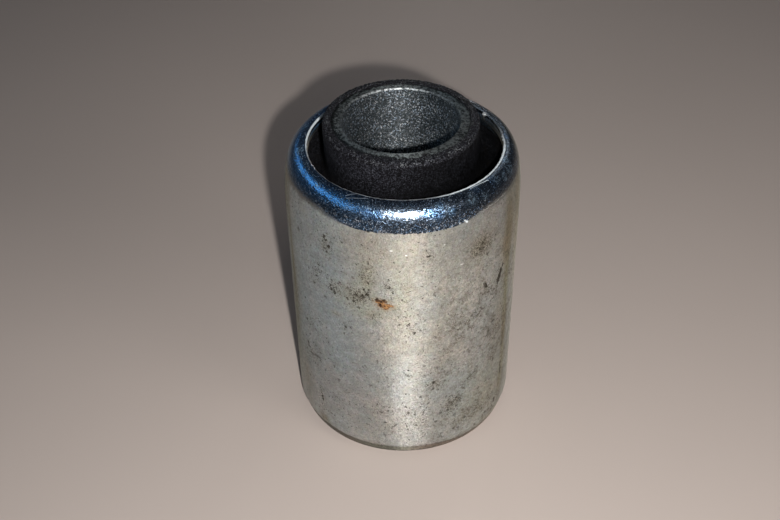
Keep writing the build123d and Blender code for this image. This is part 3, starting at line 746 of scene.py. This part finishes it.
# ---------------------------------------------------------------- phosphated tube
def phosphate_material():
    g = Graph("phosphate_coat")
    own = g.vec("LENGTH", g.vec("MULTIPLY", g.vec("ADD", g.mm, (0.2, 0, 0)), (1, 1, 0)))
    fine = g.noise(4.6, None, 2, 0.85, 0.0, 4.4)
    mid = g.noise(0.7, None, 3, 0.6, 0.4, 6.1)
    base = g.mix(g.step(mid, 0.35, 0.65), (0.066, 0.078, 0.086), (0.092, 0.106, 0.114))
    base = g.mix(g.step(fine, 0.50, 0.36, 0.0, 0.90), base, (0.008, 0.011, 0.014))
    hue = g.noise(3.3, None, 1, 0.5, 0.0, 19.9)
    clump = g.math("ADD", fine, g.math("MULTIPLY", g.math("SUBTRACT", g.noise(0.45, None, 2, 0.6, 0.3, 23.3), 0.5), 0.12))
    base = g.mix(g.step(clump, 0.54, 0.66, 0.0, 0.95), base, g.mix(g.step(hue, 0.40, 0.60), (0.60, 0.74, 0.92), (0.84, 0.85, 0.86)))
    # the cut end: a lighter grey-green face, black and ragged towards the rubber; at the bore its rounded corner is
    # rubbed bright and painted near-white, strongest on the far side, as a painted highlight
    end = g.step(g.z, 48.58, 48.74)
    face = g.mix(g.step(g.noise(2.3, None, 3, 0.95, 0.0, 31.4), 0.42, 0.58), (0.012, 0.015, 0.017), (0.250, 0.280, 0.285))
    right = g.step(g.math("SUBTRACT", g.x, g.math("MULTIPLY", g.y, 0.55)), 3.0, 8.5)
    rag = g.math("ADD", own, g.math("MULTIPLY", g.math("SUBTRACT", g.noise(2.2, None, 3, 0.9, 0.0, 7.3), 0.5), g.lerp(right, 2.2, 3.6)))
    rag = g.math("SUBTRACT", rag, g.math("MULTIPLY", right, 0.55))
    face = g.mix(g.step(rag, 8.92, 9.08, 0.0, 0.93), face, (0.007, 0.008, 0.009))
    pit = g.step(g.vec("DISTANCE", g.mm, (3.06, -8.55, 48.8)), 0.75, 0.35)
    face = g.mix(g.math("MULTIPLY", pit, g.step(fine, 0.62, 0.50)), face, (0.006, 0.006, 0.007))
    base = g.mix(end, base, face)
    # painted highlight: the bore's rounded corner is painted near-white, strongest on the far side and in the middle
    worn_edge_highlight = g.math("MULTIPLY", g.step(g.z, 48.50, 48.62), g.math("MULTIPLY", g.step(own, 8.28, 8.16), g.step(g.y, 1.5, 7.0, 0.18, 1.0)))
    worn_edge_highlight = g.math("MULTIPLY", worn_edge_highlight, g.math("MULTIPLY", g.step(g.x, -7.5, -4.5, 0.35, 1.0), g.step(g.x, 1.0, 5.0, 1.0, 0.30)))
    base = g.mix(g.math("MULTIPLY", worn_edge_highlight, g.step(hue, 0.38, 0.54, 0.04, 1.0)), base, (0.78, 0.82, 0.84))
    rough = g.lerp(worn_edge_highlight, g.lerp(end, g.lerp(fine, 0.40, 0.52), 0.58), 0.34)
    n1 = g.bump(g.noise(3.6, None, 3, 0.85, 0.0, 8.8), 0.11 * MM, 1.0)
    g.turned()
    return g.set(color=base, rough=rough, metal=0.76, normal=n1, aniso=0.8)


# ---------------------------------------------------------------- rubber
def rubber_material():
    g = Graph("bonded_rubber")
    mid = g.noise(0.6, None, 4, 0.6, 0.3, 2.9)
    base = g.mix(g.step(mid, 0.35, 0.7), (0.0030, 0.0027, 0.0037), (0.0082, 0.0072, 0.0094))
    # dust and phosphate crumbs, thickest round the top rim and on its right-hand side
    crumb = g.noise(5.6, None, 2, 0.9, 0.0, 1.2)
    rim = g.step(g.z, 47.9, 48.5)
    right = g.step(g.math("SUBTRACT", g.x, g.math("MULTIPLY", g.y, 0.55)), 2.0, 9.5)
    patch = g.math("MULTIPLY", g.math("SUBTRACT", g.noise(1.5, None, 3, 0.75, 0.0, 3.6), 0.5), 0.42)
    loose = g.math("ADD", crumb, g.math("MULTIPLY", rim, g.math("ADD", g.math("ADD", 0.030, patch), g.math("MULTIPLY", right, 0.020))))
    base = g.mix(g.step(crumb, 0.50, 0.60, 0.0, 0.95), base, (0.050, 0.053, 0.066))
    base = g.mix(g.step(crumb, 0.46, 0.38, 0.0, 0.8), base, (0.0012, 0.0011, 0.0014))
    base = g.mix(g.step(loose, 0.60, 0.68, 0.0, 0.90), base, (0.085, 0.088, 0.105))
    base = g.mix(g.math("MULTIPLY", rim, g.step(loose, 0.64, 0.71, 0.0, 0.9)), base, (0.200, 0.215, 0.220))
    # a brownish bloom low in the groove
    bloom = g.math("MULTIPLY", g.step(g.z, 44.0, 41.5), g.step(g.noise(0.8, None, 3, 0.7, 0.3, 5.2), 0.50, 0.68))
    base = g.mix(g.math("MULTIPLY", bloom, 0.6), base, (0.030, 0.022, 0.014))
    # painted shade: the rubber is darkened by 55% below the top of the neck, down in the groove under the lip
    hollow = g.step(g.z, 46.5, 43.5)
    base = g.vec("SCALE", base, scale=g.math("SUBTRACT", 1.0, g.math("MULTIPLY", hollow, 0.55)))
    # painted shade: the rubber is darkened by 66% on its right-hand side, except at the top rim
    base = g.vec("SCALE", base, scale=g.math("SUBTRACT", 1.0, g.math("MULTIPLY", g.math("MULTIPLY", right, g.math("SUBTRACT", 1.0, rim)), 0.66)))
    rough = g.lerp(mid, 0.5, 0.75)
    n1 = g.bump(g.noise(2.4, None, 4, 0.85, 0.0, 3.8), 0.16 * MM, 1.0)
    return g.set(color=base, rough=rough, metal=0.0, normal=n1, spec=0.10)


paint_marks(sleeve)
sleeve.data.materials.append(zinc_material())
tube.data.materials.append(phosphate_material())
rubber.data.materials.append(rubber_material())


def paint(name, col, rough):
    g = Graph(name)
    cloud = g.noise(0.02, None, 3, 0.5)
    c = g.mix(cloud, tuple(v * 0.97 for v in col), tuple(min(1, v * 1.03) for v in col))
    return g.set(color=c, rough=rough)

# ---------------------------------------------------------------- stage
floor_me = bpy.data.meshes.new("floor")
floor_me.from_pydata([(-3, -3, 0), (3, -3, 0), (3, 3, 0), (-3, 3, 0)], [], [(0, 1, 2, 3)])
floor = bpy.data.objects.new("floor", floor_me)
bpy.context.scene.collection.objects.link(floor)
floor.data.materials.append(paint("floor_paint", (0.58, 0.500, 0.458), 0.7))

cam_data = bpy.data.cameras.new("cam")
cam_data.sensor_fit = "HORIZONTAL"
cam_data.sensor_width = 36.0
cam_data.lens = 51.044
cam_data.clip_start = 0.01
cam_data.clip_end = 20
cam = bpy.data.objects.new("cam", cam_data)
bpy.context.scene.collection.objects.link(cam)
rot = Matrix((
    (0.99991167, 0.00645863, 0.01161647),
    (0.00482558, 0.63794824, -0.77006413),
    (-0.01238427, 0.77005216, 0.63786072),
))
cam.matrix_world = Matrix.Translation((0.0, -0.126475, 0.129024)) @ rot.to_4x4()
bpy.context.scene.camera = cam


def softbox(name, loc, target, size, power, col=(1, 1, 1), shape="DISK"):
    d = bpy.data.lights.new(name, "AREA")
    d.shape = shape
    if shape == "RECTANGLE":
        d.size, d.size_y = size
    else:
        d.size = size
    d.energy = power
    d.color = col
    o = bpy.data.objects.new(name, d)
    bpy.context.scene.collection.objects.link(o)
    o.location = loc
    o.rotation_euler = (Vector(target) - Vector(loc)).to_track_quat("-Z", "Y").to_euler()
    o.visible_camera = False
    return o


FLASH = (0.0102, -0.1375, 0.1285)
softbox("key_core", FLASH, (0, 0, 0.022), 0.004, 0.274, (1.0, 0.98, 0.95))
softbox("key_soft", FLASH, (0, 0, 0.022), 0.036, 0.022, (1.0, 0.98, 0.95))
softbox("back_right", (0.24, 0.48, 0.42), (0, 0, 0.02), 0.14, 0.15, (1.0, 0.97, 0.92))
softbox("rear_low", (0.03, 0.43, 0.06), (0, 0, 0.022), 0.05, 0.0062, (1.0, 0.96, 0.92)).data.spread = math.radians(40)
softbox("left_strip", (-0.60, 0.0, 0.50), (0, 0, 0.02), (1.6, 0.05), 0.80, (0.32, 0.68, 1.0), "RECTANGLE").visible_diffuse = False
softbox("floor_fill", (0.20, -0.14, 0.12), (0.06, 0.0, 0.0), 0.12, 0.125, (1.0, 0.96, 0.92)).visible_glossy = False
world = bpy.data.worlds.new("world")
bpy.context.scene.world = world
world.use_nodes = True
world.node_tree.nodes["Background"].inputs["Color"].default_value = (0.68, 0.80, 1.0, 1)
world.node_tree.nodes["Background"].inputs["Strength"].default_value = 0.038

vs = bpy.context.scene.view_settings
vs.view_transform = "Standard"
vs.look = "None"
